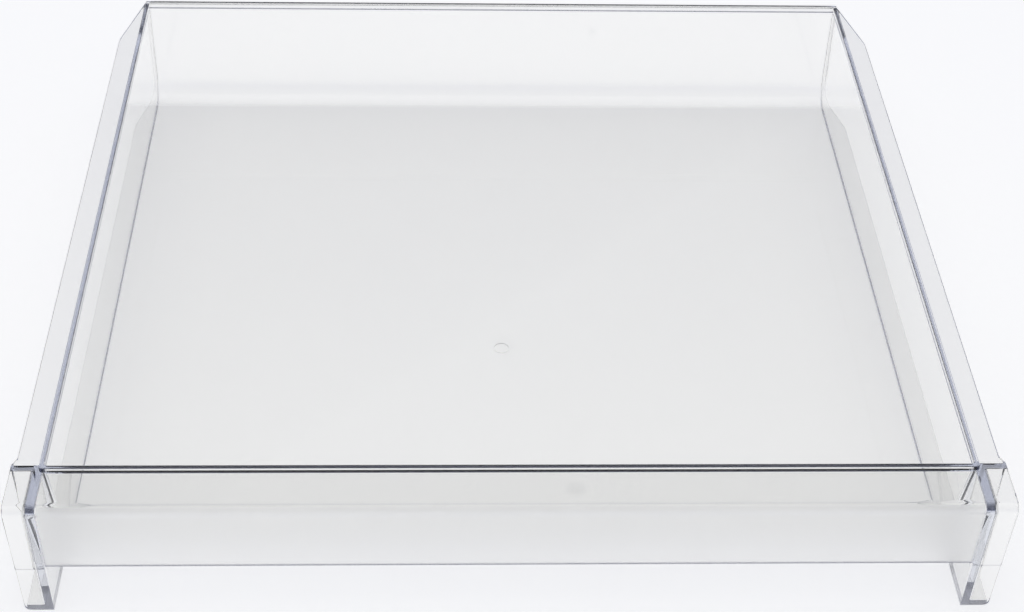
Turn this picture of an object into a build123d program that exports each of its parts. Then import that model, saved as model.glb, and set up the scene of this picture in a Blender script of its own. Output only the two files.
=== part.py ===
from build123d import *
import math
import os

# Freezer drawer: a shallow tray moulded in one piece of clear polystyrene.
# It stands on its base at Z = 0, with its front towards -Y. All sizes are in millimetres.

# Tray
body_width = 432.0
tray_depth = 419.5
overall_height = 69.7
wall = 2.4
floor_thickness = 2.5
side_draft = 0.6
front_wall_lean = 15.0
front_corner_radius = 8.0
rear_corner_radius = 12.0
inner_corner_radius = 1.2

# Rim that stands up around the top of the tray
rim_height = 2.4
rim_round = 0.6
rim_corner_radius = 1.5

# Flanges along the sides and the rear
plate = 2.4
side_flange = 11.25
lower_flange_inset = 1.0
rear_flange = 2.5
taper_length = 42.0
taper_end = 0.6
taper_bend_radius = 20.0
rear_flange_corner_radius = 2.0
plate_round = 0.5

# Front ledge, lip and ears
ledge_reach = 24.5
crease_radius = 5.0
front_lean = 2.0
lip_drop = 37.4
lip_edge_round = 0.8
ear_overhang = 2.0
ear_setback = 5.0
ear_shoulder = 4.2
ear_shoulder_radius = 3.5
ear_draft = 2.2
ear_rib = 3.0
ear_rib_setback = 3.3
leg_step_drop = 38.8
leg_step = 0.5
foot_radius = 3.0
cheek = 4.0
cheek_offset = 1.6
cheek_draft = 1.5
cheek_fillet = 1.4
grip_fillet = 1.0

# Mark left on the underside where the melt was fed in
gate_setback = 166.0
gate_diameter = 8.0
gate_depth = 0.4

# Heights and places that follow from the sizes above
ledge_top = overall_height - rim_height
ledge_bottom = ledge_top - plate
lip_bottom = ledge_top - lip_drop
leg_step_top = ledge_top - leg_step_drop
half_body = body_width / 2
half_inside = half_body - wall
flange_x = half_body + side_flange
ear_x = flange_x + ear_overhang
tip_x = half_body + taper_end
overall_depth = ledge_reach + tray_depth + rear_flange
rim_front_y = ledge_reach - overall_depth / 2
rim_rear_y = rim_front_y + tray_depth
rear_edge_y = rim_rear_y + rear_flange
ear_rear_y = rim_front_y + ear_setback
shoulder_y = ear_rear_y + ear_shoulder
rib_y = rim_front_y + ear_rib_setback
rib_rear_y = rib_y + ear_rib
taper_y = rim_rear_y - taper_length
taper_slope = (flange_x - tip_x) / (rear_edge_y - taper_y)
rear_outer_radius = rear_corner_radius + wall
outer_corner_radius = inner_corner_radius + wall
front_slope = math.tan(math.radians(front_lean))
crease_setback = crease_radius * (front_slope + 1 / math.cos(math.radians(front_lean)) - 1)
front_y = -overall_depth / 2 - crease_setback
tray_slope = math.tan(math.radians(front_wall_lean))
tray_wall_across = wall / math.cos(math.radians(front_wall_lean))
beyond = 2 * rim_height


def side_face(points, rounds=()):
    """Face in the side view through (y, z) points, with (y, z, radius) corners rounded."""
    return rounded(Plane.YZ * make_face(Polyline(*points, close=True)), [(0, y, z, r) for y, z, r in rounds])


def rounded(face, rounds):
    """Round the corner of a face that lies at each (x, y, z), one after another."""
    for x, y, z, radius in rounds:
        corner = face.vertices().sort_by_distance((x, y, z))[0]
        face = fillet(corner, radius)
    return face


def across(face, half_width):
    """Solid that a side-view face sweeps out over the width of the drawer."""
    return extrude(face, amount=half_width, both=True)


def slab(half_width, y_from, y_to, z_from, z_to):
    """Block that is centred on the drawer's width."""
    middle = ((y_from + y_to) / 2, (z_from + z_to) / 2)
    return Pos(0, middle[0], middle[1]) * Box(2 * half_width, y_to - y_from, z_to - z_from)


def front_face_y(z):
    """Front of the lip and legs, which lean back on their way down."""
    return front_y + (ledge_top - z) * front_slope


def tray_front_y(z):
    """Inside of the tray's front wall, which leans back on its way down from the ledge."""
    return rim_front_y + wall + (ledge_top - z) * tray_slope


def tray_front_outside_y(z):
    """Outside of the tray's front wall."""
    return tray_front_y(z) - tray_wall_across


def cheek_x(z, offset):
    """Place across the width, at a height, of a plane that far outside the cheeks' inner faces."""
    return half_inside + cheek_offset + offset - cheek_draft * (ledge_top - z) / ledge_top


def plan_prism(side, rounds, z_from, z_to):
    """Prism between two heights, from the (x, y) corners of the right side of its plan."""
    other_side = [(-x, y) for x, y in reversed(side)]
    face = make_face(Polyline(*side, *other_side, close=True))
    corners = [(hand * x, y, 0, radius) for hand in (1, -1) for x, y, radius in rounds]
    return extrude(Pos(0, 0, z_from) * rounded(face, corners), amount=z_to - z_from)


def upper_plan(z_from, z_to):
    """Ears and upper flange seen from above, as a prism."""
    side = [
        (ear_x, front_y),
        (ear_x, ear_rear_y),
        (flange_x, shoulder_y),
        (flange_x, taper_y),
        (tip_x, rear_edge_y),
    ]
    rounds = [
        (ear_x, ear_rear_y, ear_shoulder_radius),
        (flange_x, shoulder_y, ear_shoulder_radius),
        (flange_x, taper_y, taper_bend_radius),
        (tip_x, rear_edge_y, rear_flange_corner_radius),
    ]
    return plan_prism(side, rounds, z_from, z_to)


def lower_plan(z_from, z_to):
    """Lower flange seen from above, as a prism that stays under the upper flange."""
    edge_x = flange_x - lower_flange_inset
    bend_y = taper_y + lower_flange_inset / taper_slope
    side = [(edge_x, front_y), (edge_x, bend_y), (tip_x, rear_edge_y)]
    rounds = [
        (edge_x, bend_y, taper_bend_radius),
        (tip_x, rear_edge_y, rear_flange_corner_radius),
    ]
    return plan_prism(side, rounds, z_from, z_to)


def tray_half(z):
    """Half the width of the tray's hollow at a height: the side walls lean outwards on their way up."""
    return half_inside - side_draft * (overall_height - z) / (overall_height - floor_thickness)


def front_prism(bottom, top, foot_round=None):
    """Prism along the depth, from a front view with a (half width, z) bottom and top."""
    half_bottom, z_bottom = bottom
    half_top, z_top = top
    section = Polyline(
        (-half_top, z_top),
        (-half_bottom, z_bottom),
        (half_bottom, z_bottom),
        (half_top, z_top),
        close=True,
    )
    face = Plane.XZ * make_face(section)
    if foot_round:
        face = rounded(face, [(hand * half_bottom, 0, z_bottom, foot_round) for hand in (1, -1)])
    return extrude(face, amount=overall_depth, both=True)


def between_walls(offset, z_from, z_to):
    """Space between the side walls, or out to a surface that far outside their inner faces."""
    return front_prism((tray_half(z_from) + offset, z_from), (tray_half(z_to) + offset, z_to))


def between_cheeks(offset):
    """Space between the cheeks, or out to a plane that far outside their inner faces."""
    return front_prism((cheek_x(-beyond, offset), -beyond), (cheek_x(ledge_top, offset), ledge_top))


def legs_outline():
    """Apron and legs seen from the front, as a prism."""
    return front_prism((ear_x - ear_draft, 0), (ear_x, ledge_top), foot_radius)


def tray_inside():
    """Hollow of the tray: drafted side walls, a leaning front wall and a swept-up rear."""
    top = overall_height + beyond
    profile = side_face(
        [
            (rim_front_y + wall, top),
            (rim_front_y + wall, ledge_top),
            (tray_front_y(floor_thickness), floor_thickness),
            (rim_rear_y - wall, floor_thickness),
            (rim_rear_y - wall, top),
        ],
        [
            (tray_front_y(floor_thickness), floor_thickness, front_corner_radius),
            (rim_rear_y - wall, floor_thickness, rear_corner_radius),
        ],
    )
    hollow = across(profile, half_body) & between_walls(0, floor_thickness, top)
    side_edges = [
        edge
        for edge in hollow.edges().filter_by(Axis.X, reverse=True)
        if edge.center().Z < overall_height + beyond / 2
    ]
    return fillet(side_edges, inner_corner_radius)


def tray():
    """Tub with the leaning front wall and the rear swept up from the floor, and the rim on top of it."""
    profile = side_face(
        [
            (tray_front_outside_y(ledge_top), ledge_top),
            (tray_front_outside_y(0), 0),
            (rim_rear_y, 0),
            (rim_rear_y, ledge_top),
        ],
        [
            (tray_front_outside_y(0), 0, front_corner_radius + wall),
            (rim_rear_y, 0, rear_outer_radius),
        ],
    )
    tub = across(profile, half_body) & between_walls(wall, 0, ledge_top)
    side_edges = [
        edge
        for edge in tub.edges().filter_by(Axis.X, reverse=True)
        if edge.center().Z < ledge_bottom
    ]
    tub = fillet(side_edges, outer_corner_radius)
    rim = slab(half_body, rim_front_y, rim_rear_y, ledge_bottom, overall_height)
    rim = rim & between_walls(wall, 0, overall_height)
    upright_edges = rim.edges().filter_by(Axis.X, reverse=True).filter_by(Axis.Y, reverse=True)
    tub = tub + fillet(upright_edges, rim_corner_radius) - tray_inside()
    rim_edges = tub.edges().filter_by_position(Axis.Z, overall_height, overall_height)
    return fillet(rim_edges, rim_round)


def cheeks():
    """Side walls carried forward under the ledge, and thickened, down to the base."""
    top = ledge_bottom + plate / 2
    front_top = (front_face_y(top) + plate / 2, top)
    profile = side_face(
        [front_top, (front_face_y(0) + plate / 2, 0), (rib_rear_y, 0), (rib_rear_y, top)],
        [(*front_top, crease_radius - plate / 2)],
    )
    return across(profile, ear_x) & between_cheeks(cheek) - between_cheeks(0)


def ear_ribs():
    """Walls across the rear of the ears, which close the legs and stop against the rails."""
    ribs = slab(ear_x, rib_y, rib_rear_y, 0, ledge_bottom + plate / 2)
    return ribs & upper_plan(0, ledge_top) & legs_outline() - between_cheeks(cheek / 2)


def front_apron():
    """Ledge, down-turned lip and legs: one bent plate from ear to ear, on its cheeks and ribs."""
    back_top = (front_face_y(ledge_bottom) + plate, ledge_bottom)
    profile = side_face(
        [
            (shoulder_y, ledge_top),
            (front_y, ledge_top),
            (front_face_y(0), 0),
            (front_face_y(0) + plate, 0),
            back_top,
            (shoulder_y, ledge_bottom),
        ],
        [
            (front_y, ledge_top, crease_radius),
            (*back_top, crease_radius - plate),
        ],
    )
    apron = across(profile, ear_x) & legs_outline() & upper_plan(0, ledge_top)
    under_lip = slab(ear_x, front_y - plate, rim_front_y, -beyond, lip_bottom)
    apron = apron - (under_lip & between_cheeks(0))
    lip_edges = [
        edge
        for edge in apron.edges().filter_by(Axis.X)
        if abs(edge.center().Z - lip_bottom) < lip_edge_round
    ]
    apron = fillet(lip_edges, lip_edge_round)
    setback = side_face(
        [
            (front_face_y(leg_step_top) - plate, leg_step_top),
            (front_face_y(leg_step_top) + leg_step, leg_step_top),
            (front_face_y(0) + leg_step, -beyond),
            (front_face_y(0) - plate, -beyond),
        ]
    )
    front = apron - across(setback, ear_x) + cheeks() + ear_ribs()
    front = fillet([edge for edge in front.edges() if inside_ear(edge)], cheek_fillet)
    return fillet([edge for edge in front.edges() if inside_grip(edge)], grip_fillet)


def inside_ear(edge):
    """Whether an edge is an inner corner of an ear: on a cheek's outside or along the top of a rib."""
    middle = edge.center()
    on_cheek = abs(abs(middle.X) - cheek_x(middle.Z, cheek)) < plate_round
    on_cheek = on_cheek and floor_thickness < middle.Z < ledge_top - plate / 2
    on_rib = abs(middle.Z - ledge_bottom) < plate_round and middle.Y > rib_y - plate_round
    return middle.Y < rib_rear_y + plate_round and (on_cheek or on_rib)


def inside_grip(edge):
    """Whether an edge is an inner corner of the grip, where the lip and the ledge meet a cheek."""
    middle = edge.center()
    on_cheek = abs(abs(middle.X) - cheek_x(middle.Z, 0)) < plate_round
    behind_lip = lip_bottom + lip_edge_round < middle.Z < ledge_top - plate / 2
    return on_cheek and behind_lip and middle.Y < rib_rear_y - plate_round


def upper_flange():
    """Flange along both sides and the rear, at the level of the ledge."""
    flange = upper_plan(ledge_bottom, ledge_top)
    flange = flange - slab(ear_x, front_y, rim_front_y, ledge_bottom, ledge_top)
    edges = [
        edge
        for edge in flange.edges().filter_by(Axis.Z, reverse=True)
        if edge.center().Y > shoulder_y
    ]
    return fillet(edges, plate_round)


def lower_flange():
    """Flange along both sides at the base, which sweeps up the rear corner to the upper flange."""
    start = front_face_y(0) + plate / 2
    top = ledge_bottom + plate / 2
    outside = side_face(
        [(start, 0), (rim_rear_y, 0), (rim_rear_y, top), (start, top)],
        [(rim_rear_y, 0, rear_outer_radius)],
    )
    inside = side_face(
        [
            (start, floor_thickness),
            (rim_rear_y - floor_thickness, floor_thickness),
            (rim_rear_y - floor_thickness, top),
            (start, top),
        ],
        [(rim_rear_y - floor_thickness, floor_thickness, rear_outer_radius - floor_thickness)],
    )
    band = across(outside - inside, ear_x) & lower_plan(0, top)
    band = band - slab(half_inside - outer_corner_radius, front_y, rear_edge_y, 0, top)
    return band - slab(cheek_x(0, 0), front_y, tray_front_y(0), 0, top)


def gate_mark():
    """Shallow round dimple under the floor."""
    return Pos(0, rim_front_y + gate_setback, gate_depth / 2) * Cylinder(gate_diameter / 2, gate_depth)


def drawer_body():
    """The whole moulding."""
    body = tray() + front_apron() + upper_flange() + lower_flange()
    return body - tray_inside() - gate_mark()


os.makedirs("parts", exist_ok=True)
body = drawer_body()
body.label = "drawer_body"
export_step(body, "parts/drawer_body.step")
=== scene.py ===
import math

import bmesh
import bpy
from mathutils import Matrix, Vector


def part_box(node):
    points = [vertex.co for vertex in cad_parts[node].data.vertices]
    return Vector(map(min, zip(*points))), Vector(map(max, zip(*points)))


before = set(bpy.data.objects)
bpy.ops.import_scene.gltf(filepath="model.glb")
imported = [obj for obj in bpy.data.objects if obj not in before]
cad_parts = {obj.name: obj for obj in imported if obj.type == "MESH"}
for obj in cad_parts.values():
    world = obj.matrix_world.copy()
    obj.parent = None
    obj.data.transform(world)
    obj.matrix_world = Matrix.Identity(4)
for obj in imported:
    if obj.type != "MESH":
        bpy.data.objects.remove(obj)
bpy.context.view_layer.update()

# The drawer: one clear tray with flanges at its sides and a down-turned grip at its front.
# It is injection moulded in clear polystyrene, polished all over but for the grip's face,
# which the mould leaves satin. A long look through the plastic goes violet blue.
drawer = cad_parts["drawer_body"]
drawer_low, drawer_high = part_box("drawer_body")

clear_tint = (0.990, 0.988, 0.972, 1.0)
clear_ior = 1.585
depth_tint = (0.75, 0.775, 0.86, 1.0)
depth_density = 26.0
lamp_pass = (0.90, 0.90, 0.91, 1.0)
polish = 0.0
satin = 0.42
base_scuff = 0.32
base_top = 0.0003
rim_wear = 0.20
rim_wear_depth = 0.0009
smear_tint = (0.88, 0.88, 0.87, 1.0)
smears = (
    ((0.001, -0.0325, 0.0), 0.009, 0.35),
    ((0.0625, 0.2184, 0.0508), 0.004, 0.9),
    ((0.0280, -0.2097, 0.0673), 0.008, 0.5),
)
ledge_top = 0.0673
crease_radius = 0.005
grip_half_width = 0.2146
grip_side_blend = 0.0012
grip_depth = 0.0017
grip_blend = 0.0004
crease_reach = 0.0031
crease_start = ledge_top - 0.0004

clear_plastic = bpy.data.materials.new("clear_polystyrene")
clear_plastic.use_nodes = True
nodes = clear_plastic.node_tree.nodes
links = clear_plastic.node_tree.links
nodes.clear()
output = nodes.new("ShaderNodeOutputMaterial")
place = nodes.new("ShaderNodeTexCoord")
axes = nodes.new("ShaderNodeSeparateXYZ")
links.new(place.outputs["Object"], axes.inputs["Vector"])


def fade(value, full, none):
    """A mask of 1 at the value full that falls smoothly to 0 at none."""
    step = nodes.new("ShaderNodeMapRange")
    step.interpolation_type = "SMOOTHSTEP"
    step.inputs["From Min"].default_value = full
    step.inputs["From Max"].default_value = none
    step.inputs["To Min"].default_value = 1.0
    step.inputs["To Max"].default_value = 0.0
    links.new(value, step.inputs["Value"])
    return step.outputs["Result"]


def combine(operation, first, second):
    """Two values worked into one."""
    step = nodes.new("ShaderNodeMath")
    step.operation = operation
    for socket, value in zip(step.inputs, (first, second)):
        if isinstance(value, float):
            socket.default_value = value
        else:
            links.new(value, socket)
    return step.outputs["Value"]


across = combine("ABSOLUTE", axes.outputs["X"], 0.0)
within_sides = fade(across, grip_half_width - grip_side_blend, grip_half_width)
face_limit = drawer_low.y + grip_depth
on_face = fade(axes.outputs["Y"], face_limit - grip_blend / 2, face_limit + grip_blend / 2)
ahead = combine("SUBTRACT", drawer_low.y + crease_radius, axes.outputs["Y"])
above = combine("SUBTRACT", axes.outputs["Z"], ledge_top - crease_radius)
outwards = combine("MULTIPLY", combine("ADD", ahead, above), math.sqrt(0.5))
on_crease = fade(outwards, crease_reach + grip_blend / 2, crease_reach - grip_blend / 2)
past_start = fade(axes.outputs["Z"], crease_start - grip_blend, crease_start)
on_crease = combine("MULTIPLY", on_crease, past_start)
satin_mask = combine("MULTIPLY", within_sides, combine("MAXIMUM", on_face, on_crease))

flow = nodes.new("ShaderNodeTexNoise")
flow.inputs["Scale"].default_value = 14.0
flow.inputs["Detail"].default_value = 2.0
links.new(place.outputs["Object"], flow.inputs["Vector"])
roughness = nodes.new("ShaderNodeMix")
roughness.data_type = "FLOAT"
roughness.inputs["A"].default_value = polish
roughness.inputs["B"].default_value = satin
links.new(satin_mask, roughness.inputs["Factor"])
on_base = fade(axes.outputs["Z"], base_top, 2 * base_top)
scuffed = combine("MULTIPLY", on_base, base_scuff)
scuffed = combine("MAXIMUM", roughness.outputs["Result"], scuffed)
on_rim = fade(axes.outputs["Z"], drawer_high.z, drawer_high.z - rim_wear_depth)
scuffed = combine("MAXIMUM", scuffed, combine("MULTIPLY", on_rim, rim_wear))

smeared = combine("MULTIPLY", flow.outputs["Fac"], 0.08)
for smear_place, smear_size, smear_strength in smears:
    reach = nodes.new("ShaderNodeVectorMath")
    reach.operation = "DISTANCE"
    reach.inputs[1].default_value = smear_place
    links.new(place.outputs["Object"], reach.inputs[0])
    smear = fade(reach.outputs["Value"], 0.2 * smear_size, smear_size)
    smeared = combine("MAXIMUM", smeared, combine("MULTIPLY", smear, smear_strength))
tint = nodes.new("ShaderNodeMix")
tint.data_type = "RGBA"
tint.inputs["A"].default_value = clear_tint
tint.inputs["B"].default_value = smear_tint
links.new(smeared, tint.inputs["Factor"])

plastic = nodes.new("ShaderNodeBsdfPrincipled")
links.new(tint.outputs["Result"], plastic.inputs["Base Color"])
plastic.inputs["Transmission Weight"].default_value = 1.0
plastic.inputs["IOR"].default_value = clear_ior
links.new(scuffed, plastic.inputs["Roughness"])
open_to_lamps = nodes.new("ShaderNodeBsdfTransparent")
open_to_lamps.inputs["Color"].default_value = lamp_pass
ray = nodes.new("ShaderNodeLightPath")
surface = nodes.new("ShaderNodeMixShader")
links.new(ray.outputs["Is Shadow Ray"], surface.inputs["Fac"])
links.new(plastic.outputs["BSDF"], surface.inputs[1])
links.new(open_to_lamps.outputs["BSDF"], surface.inputs[2])
links.new(surface.outputs["Shader"], output.inputs["Surface"])
depth_colour = nodes.new("ShaderNodeVolumeAbsorption")
depth_colour.inputs["Color"].default_value = depth_tint
depth_colour.inputs["Density"].default_value = depth_density
links.new(depth_colour.outputs["Volume"], output.inputs["Volume"])
drawer.data.materials.clear()
drawer.data.materials.append(clear_plastic)

# The table: a wide sheet of white paper under the drawer, partly lit by a glow of its own so
# that it reads as white. It looks the same through the plastic, and takes the drawer's shadow.
paper_half = 6.0
paper_gap = 0.0003
paper_colour = (0.90, 0.90, 0.86, 1.0)
paper_glow = 0.53

paper_mesh = bpy.data.meshes.new("paper")
paper_build = bmesh.new()
bmesh.ops.create_grid(paper_build, x_segments=1, y_segments=1, size=paper_half)
bmesh.ops.translate(paper_build, verts=paper_build.verts, vec=(0.0, 0.0, -paper_gap))
paper_build.to_mesh(paper_mesh)
paper_build.free()
paper = bpy.data.objects.new("paper", paper_mesh)
bpy.context.scene.collection.objects.link(paper)

paper_finish = bpy.data.materials.new("white_paper")
paper_finish.use_nodes = True
nodes = paper_finish.node_tree.nodes
links = paper_finish.node_tree.links
nodes.clear()
output = nodes.new("ShaderNodeOutputMaterial")
glow = nodes.new("ShaderNodeEmission")
glow.inputs["Strength"].default_value = paper_glow
matt = nodes.new("ShaderNodeBsdfDiffuse")
matt.inputs["Color"].default_value = paper_colour
sheet = nodes.new("ShaderNodeAddShader")
links.new(glow.outputs["Emission"], sheet.inputs[0])
links.new(matt.outputs["BSDF"], sheet.inputs[1])
links.new(sheet.outputs["Shader"], output.inputs["Surface"])
paper_mesh.materials.append(paper_finish)

# The room: a pale ceiling over dim blue walls, which light the drawer evenly from above
# and which the edges of the plastic pick up.
wall_colour = (0.12, 0.14, 0.30, 1.0)
ceiling_colour = (0.46, 0.46, 0.47, 1.0)
wall_top = 0.15
ceiling_start = 0.85

room = bpy.data.worlds.new("room")
bpy.context.scene.world = room
room.use_nodes = True
nodes = room.node_tree.nodes
links = room.node_tree.links
nodes.clear()
output = nodes.new("ShaderNodeOutputWorld")
place = nodes.new("ShaderNodeTexCoord")
axes = nodes.new("ShaderNodeSeparateXYZ")
links.new(place.outputs["Generated"], axes.inputs["Vector"])
rise = nodes.new("ShaderNodeMapRange")
rise.inputs["From Min"].default_value = wall_top
rise.inputs["From Max"].default_value = ceiling_start
links.new(axes.outputs["Z"], rise.inputs["Value"])
walls = nodes.new("ShaderNodeMix")
walls.data_type = "RGBA"
walls.inputs["A"].default_value = wall_colour
walls.inputs["B"].default_value = ceiling_colour
links.new(rise.outputs["Result"], walls.inputs["Factor"])
light = nodes.new("ShaderNodeBackground")
links.new(walls.outputs["Result"], light.inputs["Color"])
links.new(light.outputs["Background"], output.inputs["Surface"])

# The lamp: one broad softbox over the drawer, as in a product studio. It lights the paper
# and gives the drawer a soft shadow.
softbox = bpy.data.lights.new("softbox", "AREA")
softbox.shape = "RECTANGLE"
softbox.size = 3.0
softbox.size_y = 2.0
softbox.energy = 6.0
softbox_object = bpy.data.objects.new("softbox", softbox)
softbox_object.location = (0.0, 0.1, 2.0)
bpy.context.scene.collection.objects.link(softbox_object)

# The camera: above the front edge, looking down into the tray. Light is followed through
# many bounces, because it runs along inside the clear walls before it leaves them.
camera_place = (-0.03526, -0.84742, 0.68769)
camera_pitch = math.radians(38.8409)
camera_yaw = math.radians(2.8339)
camera_roll = math.radians(1.8257)
photo_width = 1024.0
photo_focal = 1951.77
camera = bpy.data.cameras.new("camera")
camera.sensor_fit = "HORIZONTAL"
camera.sensor_width = 36.0
camera.lens = camera.sensor_width * photo_focal / photo_width
camera_object = bpy.data.objects.new("camera", camera)
level = Matrix.Rotation(-camera_yaw, 4, "Z")
tilt = Matrix.Rotation(math.radians(90.0) - camera_pitch, 4, "X")
roll = Matrix.Rotation(camera_roll, 4, "Z")
camera_object.matrix_world = Matrix.Translation(camera_place) @ level @ tilt @ roll
bpy.context.scene.collection.objects.link(camera_object)
bpy.context.scene.camera = camera_object
bpy.context.scene.view_settings.view_transform = "Standard"
bounces = bpy.context.scene.cycles
bounces.max_bounces = 12
bounces.diffuse_bounces = 1
bounces.glossy_bounces = 12
bounces.transmission_bounces = 12
bounces.transparent_max_bounces = 16
